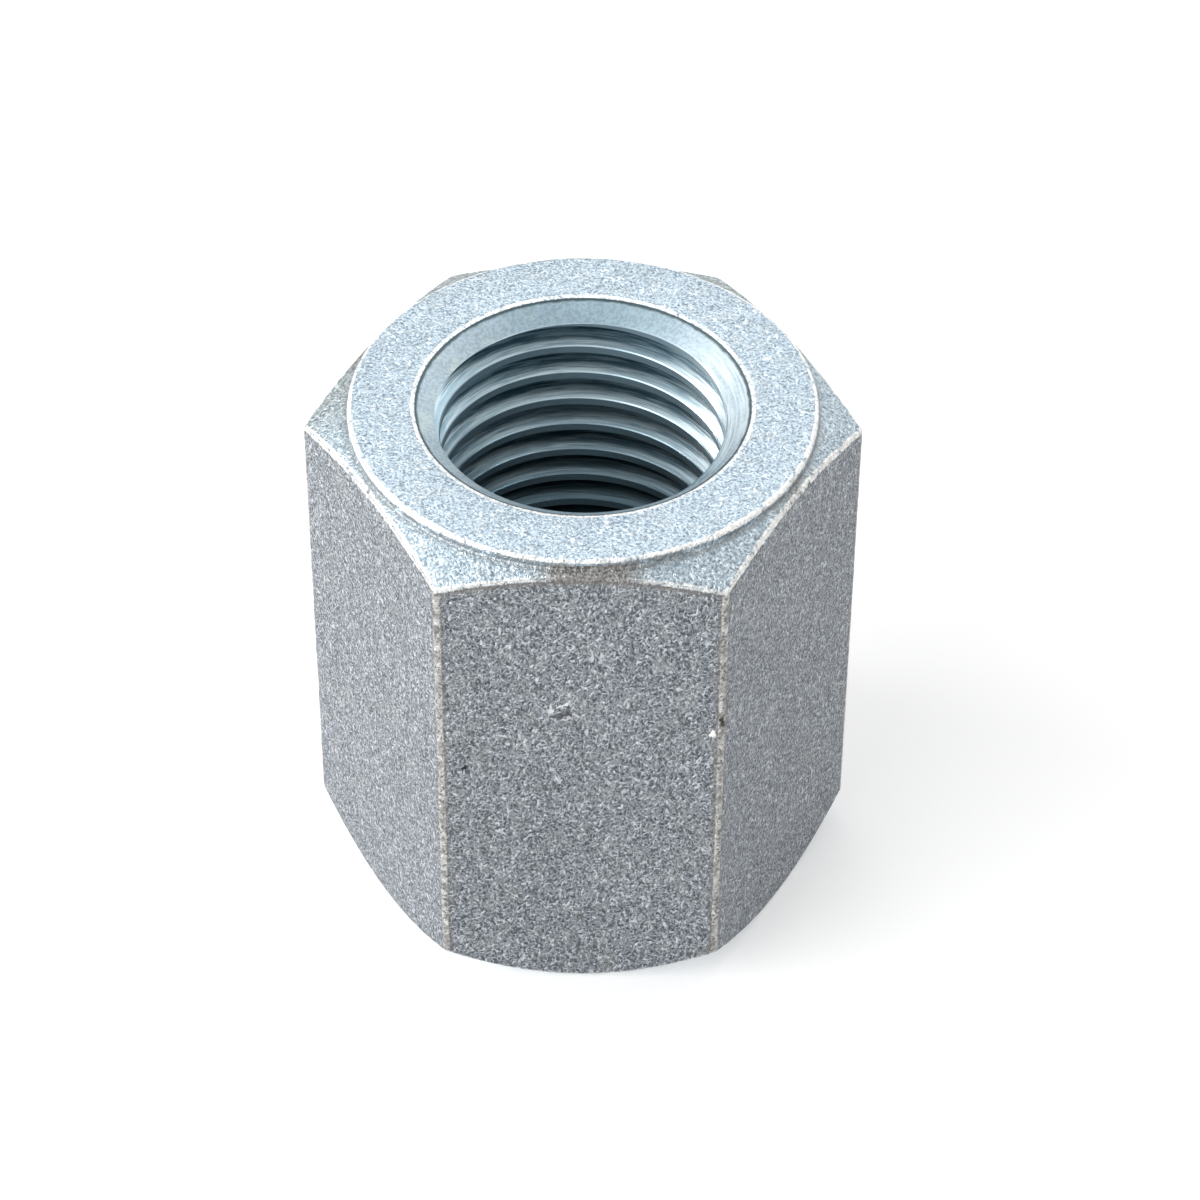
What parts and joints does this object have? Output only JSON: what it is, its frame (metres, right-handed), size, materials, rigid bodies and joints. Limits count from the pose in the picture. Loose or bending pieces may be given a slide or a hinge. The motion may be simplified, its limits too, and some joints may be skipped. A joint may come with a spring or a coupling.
{
  "type": "flywheel nut",
  "caption": "Tall hexagon nut with a raised washer face on one end, corners cut back by cones at both ends, and a countersunk tapped hole right through.",
  "frame": {"origin": "centre of the bottom face, the end without the washer face", "axes": "+Z along the thread axis, out of the washer face; +X through one corner of the hexagon"},
  "size_m": [0.0242, 0.021, 0.025],
  "materials": {
    "zinc_plated_steel": "blue zinc plating over steel, matt and finely pitted, with bright worn edges"
  },
  "bodies": {
    "root": {"flywheel_nut": "zinc_plated_steel"}
  },
  "joints": []
}
